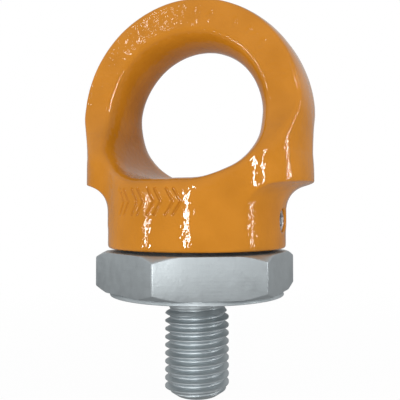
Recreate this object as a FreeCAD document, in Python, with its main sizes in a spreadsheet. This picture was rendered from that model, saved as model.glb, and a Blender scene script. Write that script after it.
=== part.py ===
import FreeCAD, Part
import math
import os
import Sketcher

# Swivel lifting eye bolt, M20. A hexagon-headed stud carries a forged eye on a full row of balls.
# Frame: millimetres, +Z up along the stud, origin at the middle of the washer face that bears on the load.
# The lifting eye is pierced along Y, its shoulders stand out along X.

BALL_COUNT = 18
RIM_STEPS = 12             # points along each quarter ellipse of the ring's edge, less one
FLARE_STEPS = 6            # flat bands along the eye's flare on each side of the throat

SIZES = [
    ("ThreadRadius", 10.0, "M20 crest radius"),
    ("NeckRadius", 8.5, "thread relief under the washer face"),
    ("NeckDepth", 4.2, "length of the relief"),
    ("NeckRunout", 2.0, "cone from relief to thread"),
    ("ShankLength", 31.0, "washer face to end of thread"),
    ("TipRadius", 6.6, "end of the lead-in chamfer"),
    ("TipChamfer", 2.3, "length of the lead-in chamfer"),
    ("CentreRadius", 2.2, "lathe centre in the thread's end"),
    ("CentreDepth", 3.4, "depth of the lathe centre"),
    ("WasherRadius", 26.85, "raised bearing face"),
    ("WasherHeight", 1.21, "height of the bearing face"),
    ("HexAcrossFlats", 54.0, "wrench size"),
    ("HexTop", 13.15, "upper face of the hexagon"),
    ("ChamferRadius", 28.3, "circle left by the corner chamfers on both faces"),
    ("ChamferAngle", 30.0, "corner chamfer, degrees from the face"),
    ("SpigotRadius", 17.9, "journal that the eye turns on"),
    ("SpigotTop", 27.0, "end of the journal"),
    ("SpigotBevel", 0.6, "lead on the journal's end"),
    ("RaceHeight", 22.7, "plane of the ball row"),
    ("RaceRadius", 3.1, "groove radius, stud and eye"),
    ("BallRadius", 3.0, "6 mm ball"),
    ("RunningGap", 0.05, "radial play of the journal"),
    ("BoreTop", 27.4, "roof of the blind bore in the eye"),
    ("BaseRadius", 27.4, "round base of the eye"),
    ("BaseBottom", 14.08, "lower rim of the base"),
    ("RimRound", 0.8, "rounding of the lower rim"),
    ("UndercutStart", 27.3, "where the base begins to swell into the shoulders"),
    ("UndercutMidRadius", 30.6, "swell, middle point"),
    ("UndercutMidHeight", 31.8, "swell, middle point"),
    ("ShoulderEdgeRadius", 35.2, "swell, outer point"),
    ("ShoulderEdgeHeight", 34.4, "swell, outer point"),
    ("ShoulderFlankHeight", 36.4, "where the shoulder turns upright"),
    ("ShoulderReach", 36.2, "half width over the shoulders"),
    ("ShoulderDepth", 26.5, "short half axis of the shoulders' oval plan"),
    ("CheekHalf", 17.5, "half thickness of the shoulders"),
    ("SlopeStart", 33.0, "where the front of the base begins to slope in"),
    ("CheekTop", 42.35, "where the slope meets the shoulders' flat cheeks"),
    ("CheekBreakHalf", 11.2, "half thickness where the slope eases"),
    ("CheekBreakHeight", 51.2, "height where the slope eases"),
    ("RingCentre", 53.78, "height of the eye's centre"),
    ("RingHalf", 10.2, "half thickness of the ring"),
    ("ThroatRadius", 22.2, "narrowest radius of the eye"),
    ("ThroatHalf", 0.9, "half length of the throat"),
    ("MouthRadius", 26.7, "eye radius at the ring's flat faces"),
    ("CrownRadius", 36.27, "largest radius of the ring"),
    ("CrownHalf", 1.2, "half length of the crown"),
    ("FaceRadius", 34.3, "outer radius of the ring's flat faces"),
    ("SillHeight", 34.6, "flat sill under the eye's opening"),
    ("SillCorner", 15.5, "corner between sill and wall at the throat"),
    ("MouthCorner", 19.0, "corner between sill and wall at the mouth"),
    ("PlugHoleRadius", 3.5, "ball filling hole"),
    ("PlugRadius", 3.45, "closing screw"),
    ("PlugFace", 26.9, "closing screw's outer end"),
    ("PlugTip", 21.15, "closing screw's inner end"),
    ("PlugSocket", 4.0, "hexagon socket across flats"),
    ("PlugSocketDepth", 2.6, "hexagon socket depth"),
    ("HoleBevel", 0.5, "countersink of the filling hole"),
    ("SealInner", 20.0, "dust seal"),
    ("SealOuter", 23.4, "dust seal"),
    ("SealTop", 15.0, "dust seal"),
    ("SealRound", 0.6, "dust seal's edge rounding"),
    ("SealGap", 0.3, "play between the dust seal and the eye"),
]

doc = FreeCAD.newDocument("SwivelEyeBolt")
sheet = doc.addObject("Spreadsheet::Sheet", "Sizes")
for row, (alias, value, note) in enumerate(SIZES, start=1):
    sheet.set("A%d" % row, alias)
    sheet.set("B%d" % row, str(value))
    sheet.set("C%d" % row, note)
    sheet.setAlias("B%d" % row, alias)
doc.recompute()
size = {alias: float(sheet.get(alias)) for alias, value, note in SIZES}


def cells(text):
    """Point the capitalised names in an expression at the sheet's cells."""
    for alias in sorted(size, key=len, reverse=True):
        text = text.replace("[" + alias + "]", "Sizes." + alias)
    return text


def add(kind, name, at=(None, None, None), turn=None, **sizes):
    """A Part object with its sizes and its place bound to the sheet."""
    item = doc.addObject(kind, name)
    if turn:
        axis, angle = turn
        item.Placement = FreeCAD.Placement(FreeCAD.Vector(), FreeCAD.Rotation(FreeCAD.Vector(*axis), angle))
    for prop, text in sizes.items():
        item.setExpression(prop, cells(text))
    for letter, text in zip("xyz", at):
        if text is not None:
            item.setExpression("Placement.Base." + letter, cells(text))
    return item


def combine(kind, name, *items):
    """A Part boolean: Cut takes the first item less the second, the others take any number."""
    result = doc.addObject(kind, name)
    if kind == "Part::Cut":
        result.Base, result.Tool = items
    else:
        result.Shapes = list(items)
    return result


def plane_of(body, role):
    for feature in body.Origin.OriginFeatures:
        if feature.Role == role:
            return feature
    raise ValueError(role)


def outline(body, name, role, corners):
    """A closed outline of straight sides in one origin plane, every corner driven by the sheet."""
    sketch = body.newObject("Sketcher::SketchObject", name)
    sketch.AttachmentSupport = [(plane_of(body, role), "")]
    sketch.MapMode = "FlatFace"
    values = [[float(sketch.evalExpression(cells(text))) for text in corner] for corner in corners]
    points = [FreeCAD.Vector(across, up, 0) for across, up in values]
    for start, end in zip(points, points[1:] + points[:1]):
        sketch.addGeometry(Part.LineSegment(start, end))
    count = len(corners)
    for index in range(count):
        sketch.addConstraint(Sketcher.Constraint("Coincident", index, 2, (index + 1) % count, 1))
    for index, corner in enumerate(corners):
        for kind, text, value in zip(("DistanceX", "DistanceY"), corner, values[index]):
            number = sketch.addConstraint(Sketcher.Constraint(kind, -1, 1, index, 1, value))
            sketch.renameConstraint(number, "%s%d" % (kind, index))
            sketch.setExpression("Constraints.%s%d" % (kind, index), cells(text))
    return sketch


def turned(body, kind, name, sketch):
    """A Revolution or Groove of a sketch about its own upright axis."""
    feature = body.newObject("PartDesign::" + kind, name)
    feature.Profile = sketch
    feature.ReferenceAxis = (sketch, ["V_Axis"])
    feature.Angle = 360.0
    sketch.Visibility = False
    return feature


def turned_cut(body, name, corners):
    """Turn an outline about the stud's axis and take it away."""
    return turned(body, "Groove", name, outline(body, name + "Outline", "XZ_Plane", corners))


# ---------------------------------------------------------------- hexagon-headed stud
def make_stud():
    body = doc.addObject("PartDesign::Body", "hex_stud")
    tip = "-[ShankLength]"
    run = "-[NeckDepth]"
    profile = outline(body, "StudProfile", "XZ_Plane", [
        ("0", tip),
        ("[TipRadius]", tip),
        ("[ThreadRadius]", tip + " + [TipChamfer]"),
        ("[ThreadRadius]", run + " - [NeckRunout]"),
        ("[NeckRadius]", run),
        ("[NeckRadius]", "0"),
        ("[WasherRadius]", "0"),
        ("[WasherRadius]", "[WasherHeight]"),
        ("[WasherRadius]", "[HexTop]"),
        ("[SpigotRadius]", "[HexTop]"),
        ("[SpigotRadius]", "[SpigotTop] - [SpigotBevel]"),
        ("[SpigotRadius] - [SpigotBevel]", "[SpigotTop]"),
        ("0", "[SpigotTop]"),
    ])
    turned(body, "Revolution", "StudTurning", profile)

    # The hexagon points at +Y and -Y, so two flats face the sides that the shoulders point to.
    hexagon = body.newObject("Sketcher::SketchObject", "HexOutline")
    hexagon.AttachmentSupport = [(plane_of(body, "XY_Plane"), "")]
    hexagon.MapMode = "FlatFace"
    hexagon.setExpression("AttachmentOffset.Base.z", cells("[WasherHeight]"))
    corner_reach = size["HexAcrossFlats"] / 2 / math.cos(math.radians(30))
    corners = [FreeCAD.Vector(corner_reach * math.cos(math.radians(60 * k + 30)),
                              corner_reach * math.sin(math.radians(60 * k + 30)), 0) for k in range(6)]
    for start, end in zip(corners, corners[1:] + corners[:1]):
        hexagon.addGeometry(Part.LineSegment(start, end))
    hexagon.addGeometry(Part.Circle(FreeCAD.Vector(), FreeCAD.Vector(0, 0, 1), corner_reach), True)
    for k in range(6):
        hexagon.addConstraint(Sketcher.Constraint("Coincident", k, 2, (k + 1) % 6, 1))
        hexagon.addConstraint(Sketcher.Constraint("PointOnObject", k, 1, 6))
    for k in range(5):
        hexagon.addConstraint(Sketcher.Constraint("Equal", k, k + 1))
    hexagon.addConstraint(Sketcher.Constraint("Coincident", 6, 3, -1, 1))
    hexagon.addConstraint(Sketcher.Constraint("Vertical", 5))
    circle = hexagon.addConstraint(Sketcher.Constraint("Radius", 6, corner_reach))
    hexagon.renameConstraint(circle, "CornerReach")
    hexagon.setExpression("Constraints.CornerReach", cells("[HexAcrossFlats] / 2 / cos(30 deg)"))
    pad = body.newObject("PartDesign::Pad", "HexPad")
    pad.Profile = hexagon
    pad.setExpression("Length", cells("[HexTop] - [WasherHeight]"))
    hexagon.Visibility = False

    reach = "[HexAcrossFlats]"
    drop = "([HexAcrossFlats] - [ChamferRadius]) * tan([ChamferAngle] * 1 deg)"
    turned_cut(body, "UpperChamfer", [
        ("[ChamferRadius]", "[HexTop]"),
        (reach, "[HexTop] - " + drop),
        (reach, "[HexTop]"),
    ])
    turned_cut(body, "LowerChamfer", [
        ("[ChamferRadius]", "[WasherHeight]"),
        (reach, "[WasherHeight]"),
        (reach, "[WasherHeight] + " + drop),
    ])
    turned_cut(body, "LatheCentre", [
        ("0", tip),
        ("[CentreRadius]", tip),
        ("0", tip + " + [CentreDepth]"),
    ])
    race = add("Part::Torus", "StudRace", at=(None, None, "[RaceHeight]"),
               Radius1="[SpigotRadius] + [RunningGap] / 2", Radius2="[RaceRadius]")
    return combine("Part::Cut", "StudWithRace", body, race)


# ---------------------------------------------------------------- forged eye
def make_ring_disc():
    """The ring before it is pierced: a disc whose edge is a quarter ellipse on either side of the crown."""
    face, crown = size["FaceRadius"], size["CrownRadius"]
    half, flat = size["RingHalf"], size["CrownHalf"]
    points = []
    for step in range(RIM_STEPS + 1):
        angle = math.radians(90.0 * step / RIM_STEPS)
        points.append((face + (crown - face) * math.sin(angle), flat + (half - flat) * math.cos(angle)))
    upper = [FreeCAD.Vector(across, up, 0) for across, up in points]
    lower = [FreeCAD.Vector(across, -up, 0) for across, up in reversed(points)]
    corners = [FreeCAD.Vector(0, -half, 0), FreeCAD.Vector(0, half, 0)]
    edges = [Part.LineSegment(corners[0], corners[1]).toShape(),
             Part.LineSegment(corners[1], upper[0]).toShape(),
             Part.LineSegment(upper[-1], lower[0]).toShape(),
             Part.LineSegment(lower[-1], corners[0]).toShape()]
    for quarter in (upper, lower):
        curve = Part.BSplineCurve()
        curve.interpolate(quarter)
        edges.append(curve.toShape())
    wire = Part.Wire(Part.__sortEdges__(edges))
    disc = doc.addObject("Part::Feature", "RingDisc")
    disc.Shape = Part.Face(wire).revolve(FreeCAD.Vector(), FreeCAD.Vector(0, 1, 0), 360)
    disc.Placement.Base = FreeCAD.Vector(0, 0, size["RingCentre"])
    return disc


def opening_outline(depth, half_width, corner):
    """The eye's opening in one upright plane: round above its centre, a flat sill with round corners below."""
    centre, sill = size["RingCentre"], size["SillHeight"]
    inner = half_width - corner
    reach = corner * math.sqrt(0.5)

    def spot(across, up):
        return FreeCAD.Vector(across, depth, up)

    edges = [
        Part.Arc(spot(-half_width, centre), spot(0, centre + half_width), spot(half_width, centre)),
        Part.LineSegment(spot(half_width, centre), spot(half_width, sill + corner)),
        Part.Arc(spot(half_width, sill + corner), spot(inner + reach, sill + corner - reach), spot(inner, sill)),
        Part.LineSegment(spot(inner, sill), spot(-inner, sill)),
        Part.Arc(spot(-inner, sill), spot(-inner - reach, sill + corner - reach), spot(-half_width, sill + corner)),
        Part.LineSegment(spot(-half_width, sill + corner), spot(-half_width, centre)),
    ]
    return Part.Wire([edge.toShape() for edge in edges])


def make_opening_tool():
    """What pierces the eye: narrowest at the throat, flared like a quarter ellipse to the ring's faces."""
    half, flat = size["RingHalf"], size["ThroatHalf"]
    stations = []
    for step in range(FLARE_STEPS + 1):
        share = math.sin(math.radians(90.0 * step / FLARE_STEPS))
        stations.append((flat + (half - flat) * share, 1 - math.sqrt(1 - share ** 2)))
    stations.append((2 * size["BaseRadius"], 1.0))
    stations = [(-depth, wide) for depth, wide in reversed(stations)] + stations
    flare = size["MouthRadius"] - size["ThroatRadius"]
    rounder = size["MouthCorner"] - size["SillCorner"]
    wires = [opening_outline(depth, size["ThroatRadius"] + flare * wide, size["SillCorner"] + rounder * wide)
             for depth, wide in stations]
    tool = doc.addObject("Part::Feature", "OpeningTool")
    tool.Shape = Part.makeLoft(wires, True, True)
    return tool


def make_eye():
    base = add("Part::Cylinder", "BaseBarrel", at=(None, None, "[BaseBottom]"),
               Radius="[BaseRadius]", Height="[CheekTop] - [BaseBottom]")
    doc.recompute()
    rim = [number for number, edge in enumerate(base.Shape.Edges, start=1)
           if edge.Closed and abs(edge.CenterOfMass.z - size["BaseBottom"]) < 0.01]
    rounded = doc.addObject("Part::Fillet", "BaseWithRim")
    rounded.Base = base
    rounded.Edges = [(number, size["RimRound"], size["RimRound"]) for number in rim]
    slope = doc.addObject("PartDesign::Body", "BaseSlope")
    sloped = slope.newObject("PartDesign::Pad", "BaseSlopePad")
    sloped.Profile = outline(slope, "BaseSlopeProfile", "YZ_Plane", [
        ("-[BaseRadius] - 1", "[BaseBottom] - 1"),
        ("[BaseRadius] + 1", "[BaseBottom] - 1"),
        ("[BaseRadius] + 1", "[SlopeStart]"),
        ("[BaseRadius]", "[SlopeStart]"),
        ("[CheekHalf]", "[CheekTop]"),
        ("-[CheekHalf]", "[CheekTop]"),
        ("-[BaseRadius]", "[SlopeStart]"),
        ("-[BaseRadius] - 1", "[SlopeStart]"),
    ])
    sloped.Midplane = True
    sloped.setExpression("Length", cells("2 * [BaseRadius] + 2"))
    barrel = combine("Part::MultiCommon", "SlopedBarrel", rounded, slope)

    # The base swells outwards above its cylinder; only the two shoulders are left of that swell.
    swell = doc.addObject("PartDesign::Body", "ShoulderSwell")
    turned(swell, "Revolution", "SwellTurning", outline(swell, "SwellProfile", "XZ_Plane", [
        ("0", "[UndercutStart]"),
        ("[BaseRadius]", "[UndercutStart]"),
        ("[UndercutMidRadius]", "[UndercutMidHeight]"),
        ("[ShoulderEdgeRadius]", "[ShoulderEdgeHeight]"),
        ("[CrownRadius]", "[ShoulderFlankHeight]"),
        ("[CrownRadius]", "[RingCentre]"),
        ("0", "[RingCentre]"),
    ]))
    oval = add("Part::Ellipse", "ShoulderOval", MajorRadius="[ShoulderReach]", MinorRadius="[ShoulderDepth]")
    plan = doc.addObject("Part::Extrusion", "ShoulderPlan")
    plan.Base = oval
    plan.DirMode = "Custom"
    plan.Dir = FreeCAD.Vector(0, 0, 1)
    plan.Solid = True
    plan.setExpression("LengthFwd", cells("[RingCentre]"))
    cheeks = doc.addObject("PartDesign::Body", "CheekWedge")
    side_view = outline(cheeks, "CheekProfile", "YZ_Plane", [
        ("-[CheekHalf]", "[BaseBottom]"),
        ("[CheekHalf]", "[BaseBottom]"),
        ("[CheekHalf]", "[CheekTop]"),
        ("[CheekBreakHalf]", "[CheekBreakHeight]"),
        ("[RingHalf]", "[RingCentre]"),
        ("-[RingHalf]", "[RingCentre]"),
        ("-[CheekBreakHalf]", "[CheekBreakHeight]"),
        ("-[CheekHalf]", "[CheekTop]"),
    ])
    wedge = cheeks.newObject("PartDesign::Pad", "CheekPad")
    wedge.Profile = side_view
    wedge.Midplane = True
    wedge.setExpression("Length", cells("2 * [CrownRadius] + 2"))
    shoulders = combine("Part::MultiCommon", "Shoulders", swell, plan, cheeks)

    blank = combine("Part::MultiFuse", "ForgedBlank", barrel, shoulders, make_ring_disc())
    forging = combine("Part::Cut", "EyeForging", blank, make_opening_tool())

    bore = add("Part::Cylinder", "JournalBore", at=(None, None, "[BaseBottom] - 1"),
               Radius="[SpigotRadius] + [RunningGap]", Height="[BoreTop] - [BaseBottom] + 1")
    race = add("Part::Torus", "EyeRace", at=(None, None, "[RaceHeight]"),
               Radius1="[SpigotRadius] + [RunningGap] / 2", Radius2="[RaceRadius]")
    hole = add("Part::Cylinder", "FillingHole", at=("[SpigotRadius]", None, "[RaceHeight]"),
               turn=((0, 1, 0), 90), Radius="[PlugHoleRadius]", Height="[BaseRadius]")
    sink = add("Part::Cone", "HoleCountersink", at=("[BaseRadius] - [HoleBevel]", None, "[RaceHeight]"),
               turn=((0, 1, 0), 90), Radius1="[PlugHoleRadius]", Radius2="[PlugHoleRadius] + 3 * [HoleBevel]",
               Height="3 * [HoleBevel]")
    groove_outer = add("Part::Cylinder", "SealGrooveOuter", at=(None, None, "[BaseBottom] - 1"),
                       Radius="[SealOuter] + [SealGap]", Height="[SealTop] + [SealGap] - [BaseBottom] + 1")
    groove_inner = add("Part::Cylinder", "SealGrooveInner", at=(None, None, "[BaseBottom] - 2"),
                       Radius="[SealInner] - [SealGap]", Height="[SealTop] + [SealGap] - [BaseBottom] + 2")
    groove = combine("Part::Cut", "SealGroove", groove_outer, groove_inner)
    voids = combine("Part::MultiFuse", "EyeVoids", bore, race, hole, sink, groove)
    return combine("Part::Cut", "FinishedEye", forging, voids)


# ---------------------------------------------------------------- small pieces
def make_plug():
    shank = add("Part::Cylinder", "PlugShank", at=("[PlugTip]", None, "[RaceHeight]"), turn=((0, 1, 0), 90),
                Radius="[PlugRadius]", Height="[PlugFace] - [PlugTip]")
    socket = add("Part::Prism", "PlugSocketTool", at=("[PlugFace] - [PlugSocketDepth]", None, "[RaceHeight]"),
                 turn=((0, 1, 0), 90), Circumradius="[PlugSocket] / 2 / cos(30 deg)",
                 Height="[PlugSocketDepth] + 1")
    socket.Polygon = 6
    return combine("Part::Cut", "FinishedPlug", shank, socket)


def make_seal():
    outer = add("Part::Cylinder", "SealOutside", at=(None, None, "[HexTop]"),
                Radius="[SealOuter]", Height="[SealTop] - [HexTop]")
    inner = add("Part::Cylinder", "SealInside", at=(None, None, "[HexTop] - 1"),
                Radius="[SealInner]", Height="[SealTop] - [HexTop] + 2")
    ring = combine("Part::Cut", "SealBlank", outer, inner)
    doc.recompute()
    lips = [number for number, edge in enumerate(ring.Shape.Edges, start=1)
            if edge.Closed and abs(edge.CenterOfMass.z - size["SealTop"]) < 0.01]
    seal = doc.addObject("Part::Fillet", "RoundedSeal")
    seal.Base = ring
    seal.Edges = [(number, size["SealRound"], size["SealRound"]) for number in lips]
    return seal


def make_ball(number):
    """Ball number 1 lies halfway between two balls' places from the filling hole."""
    angle = 360.0 / BALL_COUNT * (number - 0.5)
    ball = add("Part::Sphere", "Ball%02d" % number, Radius="[BallRadius]",
               at=("([SpigotRadius] + [RunningGap] / 2) * cos(%.4f deg)" % angle,
                   "([SpigotRadius] + [RunningGap] / 2) * sin(%.4f deg)" % angle,
                   "[RaceHeight]"))
    return ball


parts = {
    "hex_stud": make_stud(),
    "eye_body": make_eye(),
    "ball_plug": make_plug(),
    "dust_seal": make_seal(),
}
for number in range(1, BALL_COUNT + 1):
    parts["ball_%02d" % number] = make_ball(number)
doc.recompute()

for item in doc.Objects:
    if "Invalid" in item.State or "Error" in item.State:
        raise RuntimeError("%s: %s" % (item.Name, item.State))
for label, item in parts.items():
    if item.Shape.isNull() or not item.Shape.isValid() or not item.Shape.Solids:
        raise RuntimeError(label + " is not a valid solid")
    item.Label = label

os.makedirs("parts", exist_ok=True)
for label, item in parts.items():
    item.Shape.exportStep("parts/%s.step" % label)
    box = item.Shape.BoundBox
    print("%-10s solids %d volume %9.1f mm3  x %.2f..%.2f  y %.2f..%.2f  z %.2f..%.2f" % (
        label, len(item.Shape.Solids), item.Shape.Volume,
        box.XMin, box.XMax, box.YMin, box.YMax, box.ZMin, box.ZMax))
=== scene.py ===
import math
from itertools import cycle
import bmesh
import bpy
import numpy as np
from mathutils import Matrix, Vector, noise


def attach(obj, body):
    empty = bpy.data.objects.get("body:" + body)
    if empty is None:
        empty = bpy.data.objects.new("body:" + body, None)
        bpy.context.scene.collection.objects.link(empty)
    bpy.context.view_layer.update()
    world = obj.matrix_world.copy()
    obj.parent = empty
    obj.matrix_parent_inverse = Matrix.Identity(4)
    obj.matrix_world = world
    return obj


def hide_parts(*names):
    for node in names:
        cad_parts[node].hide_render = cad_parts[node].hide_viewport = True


# Looks of a swivel lifting eye bolt: a painted, forged eye that turns on a plated, threaded stud.
# Lengths are in millimetres, in the part's frame, unless a line says otherwise; meshes are made in metres.

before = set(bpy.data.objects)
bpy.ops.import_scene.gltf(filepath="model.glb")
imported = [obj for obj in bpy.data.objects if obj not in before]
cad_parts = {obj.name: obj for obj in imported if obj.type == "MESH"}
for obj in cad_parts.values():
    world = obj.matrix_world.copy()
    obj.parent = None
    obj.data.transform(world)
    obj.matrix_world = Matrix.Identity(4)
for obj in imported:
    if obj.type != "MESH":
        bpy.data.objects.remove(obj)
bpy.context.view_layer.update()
MM = 0.001

# ------------------------------------------------------------------ dimensions
BASE_RADIUS = 27.6
BASE_BOTTOM = 14.08
BASE_RIM_ROUND = 1.3
BASE_SLOPE_HEIGHT = 42.5    # the base's top slopes in at 45 degrees and meets the cheeks' face here
BASE_TOP = 44.0             # where it ends inside the shoulders
BASE_BLEND = 3.0            # softness of the base's top and of the shoulders' meeting with it
RING_CENTRE = 53.78
RING_HALF = 10.2            # half the ring's thickness
RING_BLEND = 3.0            # softness where the ring's face runs into the cheeks' slope
THROAT_RADIUS = 22.2        # the opening: a round arch over straight sides ...
SILL_HEIGHT = 34.5          # ... and a level sill ...
SILL_CORNER = 14.6          # ... with corners of this radius
SILL_RIM = (2.2, 2.6)       # rounding of the opening's rim at the sill: off the wall, off the face
SIDE_RIM = (6.1, 10.8)      # and at its sides
SIDE_RIM_TURN = (34, 74)    # where the one becomes the other, in degrees from straight down
RIM_LIFT = 0.08             # it stands off the face by this share of its depth, which leaves a crease
RIM_CREASE = 0.6            # softness of that crease
CROWN_RADIUS = 36.22
CROWN_ROUND = 2.4           # rounding of the ring's outer edge, towards the axis ...
SHOULDER_ROUND = 12.9       # ... and what it gains from the ring down to the shoulders
SHOULDER_SPAN = (38.0, 58.0)
SHOULDER_LIFT = 1.2         # how far that rounding stands off the face, which leaves a crease
SHOULDER_STRETCH = 0.7      # it reaches in to the middle plane, and this much further at the shoulders
OUTER_CREASE = 0.8          # softness of that crease at the ring, 1 more at the shoulders
CHEEK_HALF = 17.5           # half the thickness across the cheeks, beside and under the opening
CHEEK_BLEND = 1.5
SLOPE_HALF = 14.0           # the cheeks' slope passes this half thickness ...
SLOPE_HEIGHT = 47.85        # ... at this height
SLOPE = 0.635               # half thickness lost per unit of height
UNDERSIDE_HEIGHT = 33.3     # the shoulders' underside cone passes this height ...
UNDERSIDE_RADIUS = 34.0     # ... at this radius
UNDERSIDE_RISE = 0.30       # height gained per unit of radius
UNDERCUT_FILLET = 6.0
UNDERCUT_GAP = 0.1          # the undercut stays this far outside the base
UNDERCUT_EDGE = 0.4
SHOULDER_FOOT = 22.0        # the shoulders end inside the base at this height
SHOULDER_FOOT_BLEND = 1.0
RACE_HEIGHT = 22.7
JOURNAL_RADIUS = 17.9
JOURNAL_GAP = 0.05
JOURNAL_TOP = 27.0
RACE_RADIUS = 3.1
BORE_TOP = 27.4
FILLING_HOLE_RADIUS = 3.5
SEAL_GROOVE = (19.7, 23.7, 15.3)    # inner radius, outer radius, top
VOID_BLEND = 0.1            # softness where the filling hole meets the bore
VOID_EDGE = 0.5             # softness of the voids' rims

PLUG_RADIUS = 3.45
PLUG_FACE = 26.9
PLUG_TIP = 21.15
PLUG_EDGE = 0.5
PLUG_SOCKET = 4.0           # across flats
PLUG_SOCKET_CORNER = 0.05   # how far its corners are cut back
PLUG_SOCKET_DEPTH = 2.6
PLUG_SOCKET_CHAMFER = 0.25
PLUG_DRILL_POINT = 0.7

HEX_ACROSS_FLATS = 54.0
HEX_TOP = 13.15
HEX_CORNER_FLAT = 0.10
HEX_EDGE = 0.22             # rounding between the hexagon's sides and its chamfers
HEX_FACE_MARGIN = 0.25      # its end faces end this far inside its sides ...
HEX_FACE_DROP = 0.04        # ... and fall this far at their edge
CHAMFER_RADIUS = 28.3
CHAMFER_SLOPE = math.tan(math.radians(30))
JOURNAL_EDGE = 0.6          # chamfer on the journal's top
JOURNAL_FILLET = 0.4        # at its foot
WASHER_RADIUS = 26.85
WASHER_HEIGHT = 1.21
WASHER_RELIEF = 0.4         # depth of the groove over the washer face, whose side slopes out below it
WASHER_RELIEF_HEIGHT = 0.2
WASHER_EDGE = 0.18          # rounding of the washer face's rim
NECK_RADIUS = 8.5
NECK_FILLET = 0.8           # between the neck and the washer face
NECK_TOP = -0.55            # where the neck leaves that fillet
NECK_DEPTH = 4.2            # the neck ends, and the thread runs out, this far below the washer face
NECK_RUNOUT = 2.0
THREAD_RADIUS = 9.9
THREAD_PITCH = 2.5
THREAD_DEPTH = 0.6134       # as a share of the pitch
ROOT_HALF = 0.42            # the thread's rounded root: half its width ...
ROOT_RISE = 0.22            # ... and how far it rises to the flanks
SHANK_LENGTH = 31.0
TIP_RADIUS = 6.6
TIP_CHAMFER = 2.3
CENTRE_HOLE_RADIUS = 2.2    # lathe centre in the tip
CENTRE_HOLE_RIM = 2.6
CENTRE_HOLE_DEPTH = 3.2
CENTRE_HOLE_FLOOR = 0.5     # its radius at the bottom


# ------------------------------------------------------------------ shape arithmetic
def smoothstep(low, high, value):
    share = np.clip((value - low) / (high - low), 0.0, 1.0)
    return share * share * (3 - 2 * share)


def soft_union(a, b, width):
    """The nearer of two distances, blended where they differ by less than width."""
    share = np.maximum(width - np.abs(a - b), 0.0) / width
    return np.minimum(a, b) - share * share * width / 4


def soft_cut(a, b, width):
    """The further of two distances, blended in the same way."""
    return -soft_union(-a, -b, width)


def oval_cut(a, b, reach_a, reach_b):
    """What lies inside both a and b, with the edge between them rounded to a quarter ellipse."""
    across = np.maximum(1 + a / reach_a, 0.0)
    along = np.maximum(1 + b / reach_b, 0.0)
    size = np.hypot(across, along)
    slope = np.hypot(across / reach_a, along / reach_b) / np.maximum(size, 1e-6)
    return np.where(size > 0, (size - 1) / np.maximum(slope, 1e-6), np.maximum(a, b))


# ------------------------------------------------------------------ forged eye
def eye_outside(x, y, z):
    """Signed distance, near the surface, to the eye's forging before its opening is pierced."""
    depth = np.abs(y)
    slope_face = (depth - SLOPE_HALF + SLOPE * (z - SLOPE_HEIGHT)) / math.hypot(1, SLOPE)
    cheek = soft_cut(slope_face, depth - CHEEK_HALF, CHEEK_BLEND)
    front = soft_union(depth - RING_HALF, cheek, RING_BLEND)
    crown = np.hypot(x, np.maximum(z - RING_CENTRE, 0)) - CROWN_RADIUS
    low, high = SHOULDER_SPAN
    share = np.clip((high - z) / (high - low), 0, 1)
    swell = share ** 2 * (2 - share ** 2)
    thickness = np.clip(SLOPE_HALF - SLOPE * (z - SLOPE_HEIGHT), RING_HALF, CHEEK_HALF)
    across = CROWN_ROUND + SHOULDER_ROUND * swell
    side = oval_cut(crown, front - SHOULDER_LIFT, across, thickness + SHOULDER_STRETCH * swell)
    shoulders = soft_cut(side, front, OUTER_CREASE + swell)
    radius = np.hypot(x, y)
    underside = UNDERSIDE_HEIGHT + UNDERSIDE_RISE * (radius - UNDERSIDE_RADIUS) - z
    underside = underside / math.hypot(1, UNDERSIDE_RISE)
    undercut = soft_union(radius - BASE_RADIUS - UNDERCUT_GAP, underside, UNDERCUT_FILLET)
    shoulders = soft_cut(shoulders, SHOULDER_FOOT - z, SHOULDER_FOOT_BLEND)
    base = soft_cut(radius - BASE_RADIUS, BASE_BOTTOM - z, BASE_RIM_ROUND)
    base_slope = (depth - CHEEK_HALF + z - BASE_SLOPE_HEIGHT) / math.sqrt(2)
    base = soft_cut(base, soft_cut(base_slope, z - BASE_TOP, BASE_BLEND), BASE_BLEND)
    return soft_cut(soft_union(base, shoulders, BASE_BLEND), undercut, UNDERCUT_EDGE)


def eye_voids(x, y, z):
    """Signed distance to the blind bore with its ball race, the seal's groove and the filling hole."""
    radius = np.hypot(x, y)
    bore = np.maximum(radius - JOURNAL_RADIUS - JOURNAL_GAP, z - BORE_TOP)
    race = np.hypot(radius - JOURNAL_RADIUS, z - RACE_HEIGHT) - RACE_RADIUS
    inner, outer, top = SEAL_GROOVE
    groove = np.maximum(np.maximum(inner - radius, radius - outer), z - top)
    hole = np.maximum(np.hypot(y, z - RACE_HEIGHT) - FILLING_HOLE_RADIUS, JOURNAL_RADIUS - x)
    return soft_union(np.minimum(np.minimum(bore, race), groove), hole, VOID_BLEND)


def eye_distance(points):
    """Signed distance to the finished eye: the forging, its opening and its voids."""
    x, y, z = points[..., 0], points[..., 1], points[..., 2]
    outside = eye_outside(x, y, z)
    arch = np.hypot(x, z - RING_CENTRE) - THROAT_RADIUS
    beside = np.maximum(np.abs(x) - THROAT_RADIUS + SILL_CORNER, 0)
    below = np.maximum(SILL_HEIGHT + SILL_CORNER - z, 0)
    sill = np.hypot(beside, below) - SILL_CORNER
    opening = np.where(z > RING_CENTRE, arch, np.maximum(sill, np.abs(x) - THROAT_RADIUS))
    turn = np.degrees(np.arctan2(np.abs(x), RING_CENTRE - z))
    side = smoothstep(*SIDE_RIM_TURN, turn)
    reach = [low + (high - low) * side for low, high in zip(SILL_RIM, SIDE_RIM)]
    rounded = oval_cut(-opening, outside - RIM_LIFT * reach[1], *reach)
    solid = soft_cut(rounded, outside, RIM_CREASE)
    return soft_cut(solid, -eye_voids(x, y, z), VOID_EDGE)


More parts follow.
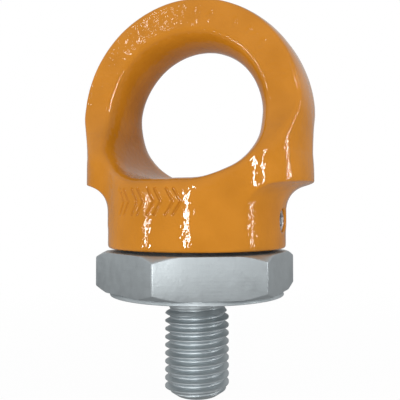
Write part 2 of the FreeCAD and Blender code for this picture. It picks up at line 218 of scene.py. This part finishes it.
def surface_net(field, low, step):
    """Quads where a sampled field changes sign: one point per mixed cell, at its crossings' mean."""
    inside = field < 0
    corners = [(i, j, k) for i in (0, 1) for j in (0, 1) for k in (0, 1)]
    shape = tuple(count - 1 for count in field.shape)

    def corner(array, offset):
        return array[tuple(slice(o, o + count) for o, count in zip(offset, shape))]

    filled = sum(corner(inside, offset).astype(np.int8) for offset in corners)
    mixed = (filled > 0) & (filled < 8)
    cells = np.argwhere(mixed)
    number = np.full(shape, -1, dtype=np.int64)
    number[mixed] = np.arange(len(cells))
    total = np.zeros((len(cells), 3))
    crossings = np.zeros(len(cells))
    for start in corners:
        for axis in range(3):
            if start[axis]:
                continue
            end = tuple(1 if n == axis else o for n, o in enumerate(start))
            first = corner(field, start)[mixed]
            second = corner(field, end)[mixed]
            crossed = (first < 0) != (second < 0)
            spot = np.tile(np.array(start, dtype=float), (len(cells), 1))
            spot[:, axis] = np.where(crossed, first / np.where(crossed, first - second, 1), 0)
            total[crossed] += spot[crossed]
            crossings += crossed
    points = low + step * (cells + total / crossings[:, None])
    quads = []
    for axis in range(3):
        one, two = (axis + 1) % 3, (axis + 2) % 3
        ahead = np.swapaxes(np.swapaxes(inside, 0, axis)[1:], 0, axis)
        behind = np.swapaxes(np.swapaxes(inside, 0, axis)[:-1], 0, axis)
        edges = np.argwhere(ahead != behind)
        leaving = behind[tuple(edges.T)]
        ring = []
        for back_one, back_two in ((1, 1), (0, 1), (0, 0), (1, 0)):
            cell = edges.copy()
            cell[:, one] -= back_one
            cell[:, two] -= back_two
            ring.append(number[tuple(cell.T)])
        ring = np.stack(ring, axis=1)
        quads.append(np.where(leaving[:, None], ring, ring[:, ::-1]))
    return points, np.concatenate(quads)


SETTLE_ROUNDS = 3


def gradient(distance, points, reach=0.02):
    """The field's slope at each point, from its values a short reach to either side."""
    slopes = []
    for axis in range(3):
        shift = np.zeros(3)
        shift[axis] = reach
        slopes.append((distance(points + shift) - distance(points - shift)) / (2 * reach))
    return np.stack(slopes, axis=1)


def settle(distance, points, longest):
    """Move points along the field's slope onto its zero surface, and return them with their normals."""
    for _ in range(SETTLE_ROUNDS):
        slope = gradient(distance, points)
        steep = np.maximum((slope ** 2).sum(axis=1), 0.05)
        push = (distance(points) / steep)[:, None] * slope
        length = np.linalg.norm(push, axis=1)[:, None]
        points = points - push * np.minimum(1, longest / np.maximum(length, 1e-9))
    slope = gradient(distance, points)
    return points, slope / np.maximum(np.linalg.norm(slope, axis=1)[:, None], 1e-9)


def relax(points, quads):
    """Each point goes halfway to the mean of its neighbours."""
    total = np.zeros_like(points)
    count = np.zeros(len(points))
    for a, b in ((0, 1), (1, 2), (2, 3), (3, 0)):
        for here, there in ((a, b), (b, a)):
            for axis in range(3):
                total[:, axis] += np.bincount(quads[:, here], points[quads[:, there], axis], len(points))
            count += np.bincount(quads[:, here], minlength=len(points))
    return (points + total / count[:, None]) / 2


# ------------------------------------------------------------------ marks on the forging
MARK_COUNT = 4
MARK_CENTRE = 27.9          # height of the row of stamped marks on the base
MARK_HALF = 3.5
MARK_SPACING = 5.6
MARK_START = -12.2          # the first mark's middle, along the base's skin from its front
MARK_PAIR = (-1.6, 0.5)     # a mark's two chevrons, from its middle
CHEVRON_TAIL = 0.9
CHEVRON_TIP = 1.3
MARK_STROKE = 0.5           # half width of a stroke
STROKE_FLOOR = 0.3          # share of it that is the stroke's flat floor
MARK_DEPTH = 0.5
RING_MARK_RADIUS = 30.6
RING_MARK_BAND = 3.0        # half width of the band that carries the ring's marks
RING_MARK_STROKE = 0.45
RING_MARK_DEPTH = 0.22
RING_MARKS = (-19, -17.4, -14.8, -11.2, -7.4, 3.4, 5.0, 8.2, 16.6, 21.8, 24.0, 27.4)
RING_MARK_HALVES = (0.9, 0.6, 1.1)      # half lengths and leans of the ring's marks, taken in turn
RING_MARK_LEANS = (0.0, 0.5, -0.3)
SKIN_WAVES = (              # the forging's unevenness: wavelength, height, offset
    (9.0, 0.045, (0, 0, 0)),
    (3.1, 0.022, (7, 0, 3)),
    (1.25, 0.022, (0, 5, 9)),
)


def polyline(points):
    return list(zip(points, points[1:]))


def base_marks():
    """A plain stamped row on the base, as (along, up) strokes: double chevrons that point sideways."""
    strokes = []
    for number in range(MARK_COUNT):
        for shift in MARK_PAIR:
            middle = MARK_START + MARK_SPACING * number + shift
            tail = middle - CHEVRON_TAIL
            strokes += polyline([(tail, MARK_HALF), (middle + CHEVRON_TIP, 0), (tail, -MARK_HALF)])
    return strokes


def ring_marks():
    """Small punch marks round the ring's upper face, as (along, outward) strokes."""
    ticks = []
    for along, half, lean in zip(RING_MARKS, cycle(RING_MARK_HALVES), cycle(RING_MARK_LEANS)):
        ticks.append([(along - lean, -half), (along + lean, half)])
    return ticks


def stroke_depth(across, up, strokes, half_width):
    """How deep the stamp goes at each point: 1 on a stroke's floor, 0 past its edge."""
    deepest = np.zeros_like(across)
    for (ax, ay), (bx, by) in strokes:
        length = (bx - ax) ** 2 + (by - ay) ** 2
        along = np.clip(((across - ax) * (bx - ax) + (up - ay) * (by - ay)) / length, 0, 1)
        away = np.hypot(across - ax - along * (bx - ax), up - ay - along * (by - ay))
        deepest = np.maximum(deepest, 1 - smoothstep(STROKE_FLOOR * half_width, half_width, away))
    return deepest


def on_mark(points):
    """Whether each point lies in the patch of the base that carries the stamped row."""
    x, y, z = points.T
    along = np.arctan2(x, -y) * BASE_RADIUS
    off_middle = np.abs(along - MARK_START - (MARK_COUNT - 1) / 2 * MARK_SPACING)
    beside = off_middle < MARK_COUNT / 2 * MARK_SPACING
    level = np.abs(z - MARK_CENTRE) < MARK_HALF + 1
    front = (np.hypot(x, y) > BASE_RADIUS - 1) & (y < 0)
    return beside & level & front


def stamp(points, normals):
    """Depth of the stamped marks at each point."""
    x, y, z = points.T
    along = np.arctan2(x, -y) * BASE_RADIUS
    base = stroke_depth(along, z - MARK_CENTRE, base_marks(), MARK_STROKE)
    depth = np.where(on_mark(points), MARK_DEPTH * base, 0.0)
    radius = np.hypot(x, z - RING_CENTRE)
    along = np.arctan2(x, z - RING_CENTRE) * RING_MARK_RADIUS
    band = (np.abs(radius - RING_MARK_RADIUS) < RING_MARK_BAND) & (z > RING_CENTRE)
    face = band & (normals[:, 1] < -0.8)
    ring = stroke_depth(along, radius - RING_MARK_RADIUS, ring_marks(), RING_MARK_STROKE)
    return np.where(face, RING_MARK_DEPTH * ring, depth)


def forging_skin(point):
    """Unevenness of the forged and painted skin, in millimetres along the normal."""
    waves = [noise.noise(Vector(point) / length + Vector(offset)) * height
             for length, height, offset in SKIN_WAVES]
    return sum(waves)


# ------------------------------------------------------------------ mesh helpers
def new_object(name, mesh):
    piece = bpy.data.objects.new(name, mesh)
    bpy.context.scene.collection.objects.link(piece)
    return piece


def split_faces(points, quads, chosen):
    """Cut each quad with its corners among the chosen points into nine, and its neighbours to suit."""
    work = bmesh.new()
    verts = [work.verts.new(point) for point in points]
    faces = [work.faces.new([verts[index] for index in quad]) for quad in quads]
    inside = [face for face, quad in zip(faces, quads) if chosen[quad].all()]
    edges = list({edge for face in inside for edge in face.edges})
    bmesh.ops.subdivide_edges(work, edges=edges, cuts=2, use_grid_fill=True)
    work.verts.index_update()
    points = np.array([vert.co[:] for vert in work.verts])
    faces = [[vert.index for vert in face.verts] for face in work.faces]
    work.free()
    return points, faces


EYE_GRID = ((-38.0, -29.5, 12.5), (38.0, 29.5, 92.0))    # low and high corners of the sampled field
GRID_STEP = 0.52
GRID_SLABS = 12             # the field is worked out slab by slab, which saves memory
RELAX_ROUNDS = 2
SKIN_CLEARANCE = 0.3        # nearer than this to the machined voids, the forging's skin is even


def make_eye():
    """The eye's mesh: the field's zero surface, with its stamped marks and its uneven skin."""
    step = GRID_STEP
    low, high = np.array(EYE_GRID)
    axes = [np.arange(a, b + step, step) for a, b in zip(low, high)]
    grid = np.stack(np.meshgrid(*axes, indexing="ij"), axis=-1)
    field = np.concatenate([eye_distance(slab) for slab in np.array_split(grid, GRID_SLABS)])
    points, quads = surface_net(field, low, step)
    for _ in range(RELAX_ROUNDS):
        points, normals = settle(eye_distance, relax(points, quads), step / 2)
    points, faces = split_faces(points, quads, on_mark(points))
    points, normals = settle(eye_distance, points, step / 2)
    outer = eye_voids(*points.T) > SKIN_CLEARANCE
    skin = np.array([forging_skin(point) for point in points])
    points = points + normals * (np.where(outer, skin, 0) - stamp(points, normals))[:, None]
    mesh = bpy.data.meshes.new("forged_eye")
    mesh.from_pydata((points * MM).tolist(), [], faces)
    mesh.shade_smooth()
    return new_object("forged_eye", mesh)


def polar_solid(rings, angles):
    """A closed surface from a pole through rings of points to another pole. Each is (radius, height):
    a ring's are one value or one for each angle, and a pole's radius isn't read."""
    count = len(angles)
    cos, sin = np.cos(angles), np.sin(angles)
    points = [np.array([[0, 0, rings[0][1]]])]
    for radius, height in rings[1:-1]:
        radius = np.broadcast_to(radius, count)
        height = np.broadcast_to(height, count)
        points.append(np.stack([radius * cos, radius * sin, height], axis=1))
    points.append(np.array([[0, 0, rings[-1][1]]]))
    faces = []
    last = 1 + count * (len(rings) - 2)
    for n in range(count):
        after = (n + 1) % count
        faces.append([0, 1 + after, 1 + n])
        for ring in range(len(rings) - 3):
            base = 1 + ring * count
            faces.append([base + n, base + after, base + count + after, base + count + n])
        faces.append([last, last - count + n, last - count + after])
    return np.concatenate(points), faces


STUD_SECTOR_STEPS = 40      # points round the stud in each sixth of a turn
PLUG_SECTOR_STEPS = 8
CORNER_CROWDING = 0.85      # how far the points draw together at a hexagon's corners, from 0 to 1
RACE_STEPS = 17


def sector_angles(per_sector):
    """Angles round a hexagon, drawn together at its corners."""
    share = np.arange(per_sector) / per_sector
    eased = share - CORNER_CROWDING * np.sin(2 * math.pi * share) / (2 * math.pi)
    sectors = [math.radians(30 + 60 * k) + eased * math.radians(60) for k in range(6)]
    return np.concatenate(sectors)


def hex_reach(angles, across_flats, corner_flat):
    """Distance from the axis to a hexagon's side, with its corners cut back by corner_flat."""
    flats = np.stack([np.cos(angles - math.radians(60 * k)) for k in range(6)])
    corner = across_flats / math.sqrt(3)
    return np.minimum(across_flats / 2 / flats.max(axis=0), corner - corner_flat)


def thread_reach(share):
    """Radius of an M thread's flank at a share of the pitch, 0 at the crest's middle."""
    away = np.abs((share + 0.5) % 1 - 0.5) * THREAD_PITCH
    flat = THREAD_PITCH / 16
    flank = THREAD_RADIUS - np.maximum(away - flat, 0) / math.tan(math.radians(30))
    root = THREAD_RADIUS - THREAD_DEPTH * THREAD_PITCH
    arc = np.sqrt(np.clip(1 - ((THREAD_PITCH / 2 - away) / ROOT_HALF) ** 2, 0, 1))
    bowl = root + (1 - arc) * ROOT_RISE
    return np.maximum(flank, np.minimum(bowl, THREAD_RADIUS))


# Where the rows of points lie along one pitch, as shares of it: the crest, a flank, the root, a flank.
THREAD_ROWS = (-0.0625, -0.04, 0.04, 0.0625, 0.13, 0.2, 0.27, 0.345,
               0.4, 0.45, 0.5, 0.55, 0.6, 0.655, 0.73, 0.8, 0.87)


def thread_points(angles):
    """The thread's skin: rows that climb with the helix, held between the tip and the neck."""
    shares = np.array(THREAD_ROWS)
    turns = int(SHANK_LENGTH / THREAD_PITCH) + 3
    rows = np.concatenate([(shares + n) * THREAD_PITCH for n in range(turns)])
    turned = (angles - angles[0]) / (2 * math.pi)
    start = -SHANK_LENGTH - 1.5 * THREAD_PITCH
    height = start + rows[None, :] + turned[:, None] * THREAD_PITCH
    reach = np.broadcast_to(thread_reach(rows / THREAD_PITCH), height.shape)
    lead = TIP_RADIUS + (height + SHANK_LENGTH) * (THREAD_RADIUS - TIP_RADIUS) / TIP_CHAMFER
    runout = NECK_RADIUS - (height + NECK_DEPTH) * (THREAD_RADIUS - NECK_RADIUS) / NECK_RUNOUT
    reach = np.minimum(reach, np.maximum(lead, TIP_RADIUS))
    reach = np.minimum(reach, np.maximum(runout, NECK_RADIUS))
    height = np.clip(height, -SHANK_LENGTH, NECK_TOP)
    reach = np.where(height >= NECK_TOP, NECK_RADIUS, reach)
    reach = np.where(height <= -SHANK_LENGTH, TIP_RADIUS, reach)
    points = np.stack([reach * np.cos(angles)[:, None], reach * np.sin(angles)[:, None], height], axis=2)
    count, rows_made = height.shape
    per_turn = len(shares)
    faces = []
    for n in range(count):
        after, lift = (n + 1, 0) if n + 1 < count else (0, per_turn)
        for row in range(rows_made - 1 - lift):
            faces.append([n * rows_made + row, after * rows_made + row + lift,
                          after * rows_made + row + lift + 1, n * rows_made + row + 1])
    return points.reshape(-1, 3), faces


WELD = 1e-6                 # metres
SHARP_EDGE = math.radians(32)


def closed_piece(name, points, faces):
    """A welded, outward-facing mesh object from millimetre points, smooth except at sharp edges."""
    mesh = bpy.data.meshes.new(name)
    mesh.from_pydata((points * MM).tolist(), [], faces)
    work = bmesh.new()
    work.from_mesh(mesh)
    bmesh.ops.remove_doubles(work, verts=work.verts, dist=WELD)
    bmesh.ops.dissolve_degenerate(work, edges=work.edges, dist=WELD)
    loose = [vert for vert in work.verts if not vert.link_faces]
    bmesh.ops.delete(work, geom=loose, context="VERTS")
    bmesh.ops.recalc_face_normals(work, faces=work.faces)
    work.to_mesh(mesh)
    work.free()
    mesh.shade_smooth()
    mesh.set_sharp_from_angle(angle=SHARP_EDGE)
    return new_object(name, mesh)


def make_stud():
    """The stud: journal with its ball race, hexagon, washer face, neck, thread and tip."""
    angles = sector_angles(STUD_SECTOR_STEPS)
    reach = hex_reach(angles, HEX_ACROSS_FLATS, HEX_CORNER_FLAT)
    inner = np.minimum(reach - HEX_FACE_MARGIN, CHAMFER_RADIUS)
    drop = np.maximum(reach - CHAMFER_RADIUS, 0.0) * CHAMFER_SLOPE
    rings = [
        (None, JOURNAL_TOP),
        (JOURNAL_RADIUS - JOURNAL_EDGE, JOURNAL_TOP),
        (JOURNAL_RADIUS, JOURNAL_TOP - JOURNAL_EDGE),
    ]
    for turn in np.linspace(0.01, math.pi - 0.01, RACE_STEPS):
        groove = JOURNAL_RADIUS + JOURNAL_GAP / 2 - RACE_RADIUS * math.sin(turn)
        rings.append((min(groove, JOURNAL_RADIUS), RACE_HEIGHT + RACE_RADIUS * math.cos(turn)))
    rings += [
        (JOURNAL_RADIUS, HEX_TOP + JOURNAL_FILLET),
        (JOURNAL_RADIUS + JOURNAL_FILLET, HEX_TOP),
        (JOURNAL_RADIUS + 3 * JOURNAL_FILLET, HEX_TOP),
        (inner - 0.2, HEX_TOP),
        (inner, HEX_TOP - HEX_FACE_DROP),
    ]
    chamfer = [     # from the hexagon's end face to its sides, as (radius, depth from the face)
        (reach - HEX_EDGE, np.maximum(drop - HEX_EDGE * CHAMFER_SLOPE, 0.08)),
        (reach - HEX_EDGE * 0.25, drop + HEX_EDGE * 0.5),
        (reach, drop + HEX_EDGE * 1.4),
    ]
    rings += [(radius, HEX_TOP - depth) for radius, depth in chamfer]
    rings += [(radius, WASHER_HEIGHT + depth) for radius, depth in reversed(chamfer)]
    rings += [
        (np.maximum(inner, WASHER_RADIUS + 0.06), WASHER_HEIGHT + HEX_FACE_DROP),
        (WASHER_RADIUS - WASHER_RELIEF, WASHER_HEIGHT),
        (WASHER_RADIUS - WASHER_RELIEF, WASHER_HEIGHT - WASHER_RELIEF_HEIGHT),
        (WASHER_RADIUS - WASHER_RELIEF * 0.8, WASHER_HEIGHT - WASHER_RELIEF_HEIGHT * 1.2),
        (WASHER_RADIUS, WASHER_EDGE),
        (WASHER_RADIUS - 0.05, 0.05),
        (WASHER_RADIUS - WASHER_EDGE, 0.0),
        (NECK_RADIUS + NECK_FILLET, 0.0),
        (NECK_RADIUS + NECK_FILLET * 0.3, -NECK_FILLET * 0.3),
        (NECK_RADIUS, NECK_TOP),
        (None, NECK_TOP),
    ]
    upper, upper_faces = polar_solid(rings, angles)
    thread, thread_faces = thread_points(angles)
    tip, tip_faces = polar_solid([
        (None, -SHANK_LENGTH),
        (TIP_RADIUS, -SHANK_LENGTH),
        (CENTRE_HOLE_RIM, -SHANK_LENGTH),
        (CENTRE_HOLE_RADIUS, -SHANK_LENGTH + 0.15),
        (CENTRE_HOLE_FLOOR, -SHANK_LENGTH + CENTRE_HOLE_DEPTH),
        (None, -SHANK_LENGTH + CENTRE_HOLE_DEPTH + 0.2),
    ], angles)
    # The thread joins the upper part's last ring and the tip's first, so their end caps are left out.
    faces = [face for face in upper_faces if len(upper) - 1 not in face]
    faces += [[index + len(upper) for index in face] for face in thread_faces]
    tip_start = len(upper) + len(thread)
    faces += [[index + tip_start for index in face] for face in tip_faces if 0 not in face]
    return closed_piece("hex_stud_turned", np.concatenate([upper, thread, tip]), faces)


def make_plug():
    """The closing screw, with its hexagon socket outwards along +X."""
    angles = sector_angles(PLUG_SECTOR_STEPS)
    socket = hex_reach(angles, PLUG_SOCKET, PLUG_SOCKET_CORNER)
    floor = PLUG_FACE - PLUG_SOCKET_DEPTH
    points, faces = polar_solid([
        (None, floor - PLUG_DRILL_POINT),
        (socket * 0.98, floor),
        (socket, floor + 0.1),
        (socket, PLUG_FACE - PLUG_SOCKET_CHAMFER),
        (socket + PLUG_SOCKET_CHAMFER, PLUG_FACE),
        (PLUG_RADIUS - PLUG_EDGE, PLUG_FACE),
        (PLUG_RADIUS - PLUG_EDGE * 0.24, PLUG_FACE - PLUG_EDGE * 0.3),
        (PLUG_RADIUS, PLUG_FACE - PLUG_EDGE),
        (PLUG_RADIUS, PLUG_TIP + PLUG_EDGE),
        (PLUG_RADIUS - PLUG_EDGE, PLUG_TIP),
        (None, PLUG_TIP),
    ], angles)
    points = np.stack([points[:, 2], points[:, 0], points[:, 1] + RACE_HEIGHT], axis=1)
    return closed_piece("filling_hole_screw", points, faces)


# ------------------------------------------------------------------ materials
def new_material(name, **values):
    """A material, its node tree and its shader, with the named sockets set: _ stands for a space."""
    material = bpy.data.materials.new(name)
    material.use_nodes = True
    shader = material.node_tree.nodes["Principled BSDF"]
    for socket, value in values.items():
        shader.inputs[socket.replace("_", " ")].default_value = value
    return material, material.node_tree, shader


def node(tree, kind, **values):
    """A new node with the named sockets or settings set."""
    made = tree.nodes.new(kind)
    for key, value in values.items():
        if key in made.inputs:
            made.inputs[key].default_value = value
        else:
            setattr(made, key, value)
    return made


def object_position(tree, scale=(1, 1, 1)):
    place = tree.nodes.new("ShaderNodeTexCoord")
    mapping = tree.nodes.new("ShaderNodeMapping")
    mapping.inputs["Scale"].default_value = scale
    tree.links.new(place.outputs["Object"], mapping.inputs["Vector"])
    return mapping.outputs["Vector"]


def noise_of(tree, vector, scale, detail=2.0, rough=0.5):
    made = node(tree, "ShaderNodeTexNoise", Scale=scale, Detail=detail, Roughness=rough)
    tree.links.new(vector, made.inputs["Vector"])
    return made.outputs["Fac"]


def ramp(tree, factor, stops):
    """A colour that goes between two stops, each (position, (red, green, blue))."""
    made = tree.nodes.new("ShaderNodeValToRGB")
    for element, (position, colour) in zip(made.color_ramp.elements, stops):
        element.position = position
        element.color = (*colour, 1)
    tree.links.new(factor, made.inputs["Fac"])
    return made.outputs["Color"]


def bump(tree, height, strength, distance, onto=None):
    made = node(tree, "ShaderNodeBump", Strength=strength, Distance=distance)
    tree.links.new(height, made.inputs["Height"])
    if onto is not None:
        tree.links.new(onto, made.inputs["Normal"])
    return made.outputs["Normal"]


def vary(shader, socket, factor, low, high, stops=(0.3, 0.7)):
    """Drive a shader's socket from low to high as a noise factor goes from one stop to the other."""
    tree = shader.id_data
    colours = [value if isinstance(value, tuple) else (value,) * 3 for value in (low, high)]
    tree.links.new(ramp(tree, factor, list(zip(stops, colours))), shader.inputs[socket])


def orange_coat():
    """Glossy orange paint with its orange peel, on the forging."""
    material, tree, shader = new_material("orange_coat", Specular_IOR_Level=0.4)
    place = object_position(tree)
    tone = noise_of(tree, place, 90.0, 3.0)
    vary(shader, "Base Color", tone, (0.44, 0.163, 0.010), (0.505, 0.192, 0.015))
    vary(shader, "Roughness", noise_of(tree, place, 260.0, 2.0), 0.035, 0.07, (0.35, 0.7))
    peel = noise_of(tree, place, 760.0, 1.0, 0.5)
    lumps = noise_of(tree, place, 330.0, 1.0, 0.4)
    normal = bump(tree, lumps, 0.6, 0.0001)
    normal = bump(tree, peel, 1.0, 0.0001, normal)
    tree.links.new(normal, shader.inputs["Normal"])
    return material


def plated_steel():
    """Matt zinc plating, with faint turning marks round the stud's axis and a fine grain."""
    material, tree, shader = new_material("plated_steel", Metallic=1.0)
    place = object_position(tree)
    tone = noise_of(tree, place, 110.0, 4.0)
    vary(shader, "Base Color", tone, (0.515, 0.56, 0.58), (0.58, 0.63, 0.65))
    vary(shader, "Roughness", noise_of(tree, place, 400.0, 3.0), 0.47, 0.57)
    turned = noise_of(tree, object_position(tree, (60, 60, 1700)), 1.0, 3.0, 0.6)
    grain = noise_of(tree, place, 1300.0, 2.0)
    normal = bump(tree, turned, 0.25, 0.0001)
    normal = bump(tree, grain, 0.6, 0.00005, normal)
    tree.links.new(normal, shader.inputs["Normal"])
    return material


def bright_steel():
    material, tree, shader = new_material("bright_steel", Metallic=1.0)
    place = object_position(tree)
    tone = noise_of(tree, place, 300.0, 3.0)
    vary(shader, "Base Color", tone, (0.70, 0.71, 0.72), (0.80, 0.80, 0.81))
    vary(shader, "Roughness", noise_of(tree, place, 900.0, 2.0), 0.24, 0.34)
    return material


def black_rubber():
    material, tree, shader = new_material("black_rubber")
    place = object_position(tree)
    vary(shader, "Base Color", noise_of(tree, place, 500.0, 3.0), 0.012, 0.025)
    vary(shader, "Roughness", noise_of(tree, place, 900.0, 2.0), 0.55, 0.75)
    return material


def wear(piece, material):
    piece.data.materials.clear()
    piece.data.materials.append(material)


def repaint(cad_node, material):
    for slot in cad_node.material_slots:
        slot.material = material


# ------------------------------------------------------------------ pieces
COAT, PLATED, BRIGHT, RUBBER = orange_coat(), plated_steel(), bright_steel(), black_rubber()

eye = make_eye()
wear(eye, COAT)
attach(eye, "eye")
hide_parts("eye_body")

stud = make_stud()
wear(stud, PLATED)
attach(stud, "stud")
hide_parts("hex_stud")

plug = make_plug()
wear(plug, BRIGHT)
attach(plug, "eye")
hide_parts("ball_plug")

for name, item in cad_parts.items():
    if name.startswith("ball_") and name != "ball_plug":
        repaint(item, BRIGHT)
    elif name == "dust_seal":
        repaint(item, RUBBER)


# ------------------------------------------------------------------ stage, light and camera
CAMERA_YAW = 22.0           # degrees from -Y towards +X
CAMERA_TILT = 1.6           # degrees upwards
CAMERA_DISTANCE = 171.0
CAMERA_HEIGHT = 24.16
CAMERA_SHIFT = 0.93         # to the camera's right
CAMERA_LENS = 49.04         # for a sensor 36 mm wide

# The studio is in metres.
AIM = Vector((0, 0, 0.04))  # what the soft boxes face
FLOOR_HALF = 4.0
FLOOR_FADE = (0.05, 0.30)   # between these distances the floor fades into pure white
FLOOR_GLOW = 0.97           # the share of its look that is its own light, not shaded, under the object
SURROUND_RADIUS = 3.9


def make_stage():
    """A pale floor that fades into a white surround; reflections see neither, only the studio's light."""
    drop = -SHANK_LENGTH * MM
    corners = [(-1, -1), (1, -1), (1, 1), (-1, 1)]
    mesh = bpy.data.meshes.new("floor")
    mesh.from_pydata([(x * FLOOR_HALF, y * FLOOR_HALF, drop) for x, y in corners], [], [(0, 1, 2, 3)])
    floor = new_object("floor", mesh)
    floor.visible_glossy = False
    material, tree, shader = new_material("pale_floor", Roughness=0.8, Base_Color=(0.9, 0.9, 0.9, 1))
    place = tree.nodes.new("ShaderNodeTexCoord")
    away = node(tree, "ShaderNodeVectorMath", operation="LENGTH")
    tree.links.new(place.outputs["Object"], away.inputs[0])
    fade = node(tree, "ShaderNodeMapRange", interpolation_type="SMOOTHSTEP")
    fade.inputs["From Min"].default_value = FLOOR_FADE[0]
    fade.inputs["From Max"].default_value = FLOOR_FADE[1]
    fade.inputs["To Min"].default_value = FLOOR_GLOW
    tree.links.new(away.outputs["Value"], fade.inputs["Value"])
    glow = node(tree, "ShaderNodeEmission", Strength=1.0)
    mix = tree.nodes.new("ShaderNodeMixShader")
    tree.links.new(fade.outputs["Result"], mix.inputs["Fac"])
    tree.links.new(shader.outputs["BSDF"], mix.inputs[1])
    tree.links.new(glow.outputs["Emission"], mix.inputs[2])
    tree.links.new(mix.outputs["Shader"], tree.nodes["Material Output"].inputs["Surface"])
    mesh.materials.append(material)

    bpy.ops.mesh.primitive_uv_sphere_add(segments=48, ring_count=24, radius=SURROUND_RADIUS)
    surround = bpy.context.object
    surround.name = "surround"
    for flag in ("diffuse", "glossy", "transmission", "volume_scatter", "shadow"):
        setattr(surround, "visible_" + flag, False)
    white, tree, shader = new_material("white_surround", Base_Color=(0, 0, 0, 1), Emission_Strength=1.0,
                                       Emission_Color=(1, 1, 1, 1), Specular_IOR_Level=0.0)
    surround.data.materials.append(white)


def soft_box(name, azimuth, distance, lift, width, height, strength):
    """A soft box facing the object; azimuth is measured at the object from the camera, to its right.
    Its strength is in watts for each square metre."""
    turn = math.radians(CAMERA_YAW + azimuth)
    data = bpy.data.lights.new(name, "AREA")
    data.shape = "RECTANGLE"
    data.size, data.size_y = width, height
    data.energy = strength * width * height
    light = new_object(name, data)
    light.location = (distance * math.sin(turn), -distance * math.cos(turn), lift)
    light.rotation_euler = (AIM - light.location).to_track_quat("-Z", "Y").to_euler()


def make_camera():
    yaw = math.radians(CAMERA_YAW)
    data = bpy.data.cameras.new("camera")
    data.lens = CAMERA_LENS
    data.sensor_width = 36.0
    data.clip_start = 0.01
    camera = new_object("camera", data)
    camera.location = Vector((CAMERA_DISTANCE * math.sin(yaw) + CAMERA_SHIFT * math.cos(yaw),
                              -CAMERA_DISTANCE * math.cos(yaw) + CAMERA_SHIFT * math.sin(yaw),
                              CAMERA_HEIGHT)) * MM
    camera.rotation_euler = (math.radians(90 + CAMERA_TILT), 0, yaw)
    bpy.context.scene.camera = camera


def make_world():
    """An even pale studio, which dims towards the horizon and stays dim below it."""
    world = bpy.data.worlds.new("studio")
    world.use_nodes = True
    tree = world.node_tree
    place = tree.nodes.new("ShaderNodeTexCoord")
    split = tree.nodes.new("ShaderNodeSeparateXYZ")
    tree.links.new(place.outputs["Generated"], split.inputs["Vector"])
    rise = ramp(tree, split.outputs["Z"], [(0.0, (0.29,) * 3), (0.35, (0.57,) * 3)])
    tree.links.new(rise, tree.nodes["Background"].inputs["Color"])
    tree.nodes["Background"].inputs["Strength"].default_value = 1.0
    bpy.context.scene.world = world


make_stage()
make_camera()
make_world()
soft_box("strip_left", azimuth=-63, distance=0.8, lift=0.02, width=0.025, height=0.4, strength=150)
soft_box("strip_front", azimuth=-12, distance=0.9, lift=0.12, width=0.06, height=0.45, strength=165)
soft_box("strip_right", azimuth=70, distance=0.8, lift=0.15, width=0.018, height=0.8, strength=160)
soft_box("high_left", azimuth=-50, distance=0.8, lift=0.36, width=0.03, height=0.05, strength=52)
bpy.context.scene.view_settings.view_transform = "Standard"
